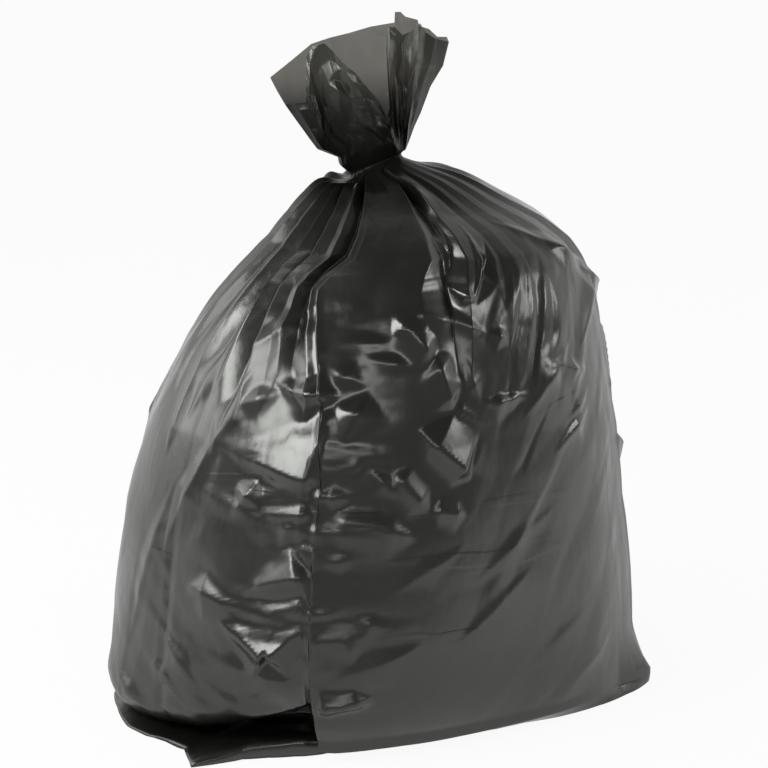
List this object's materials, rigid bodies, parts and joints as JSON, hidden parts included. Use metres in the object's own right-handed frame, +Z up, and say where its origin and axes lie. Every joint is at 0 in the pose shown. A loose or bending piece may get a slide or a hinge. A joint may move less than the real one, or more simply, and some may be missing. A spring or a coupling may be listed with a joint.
{
  "type": "filled bin bag",
  "caption": "Filled black plastic refuse sack standing on the floor, its neck pinched shut under a fan-shaped tuft of film, with gathers, flat-faced creases and a flared bottom seam.",
  "frame": {"origin": "on the floor, under the centre of the sack's bounding box", "axes": "+Z up from the floor to the tuft, -Y out of the broad front panel, +X to the right as seen from the front"},
  "size_m": [0.5154, 0.4324, 0.6483],
  "materials": {
    "film": "thin glossy dark grey-black polythene film, slightly see-through where it is a single layer"
  },
  "bodies": {
    "root": {"tied_sack": "film"}
  },
  "joints": []
}
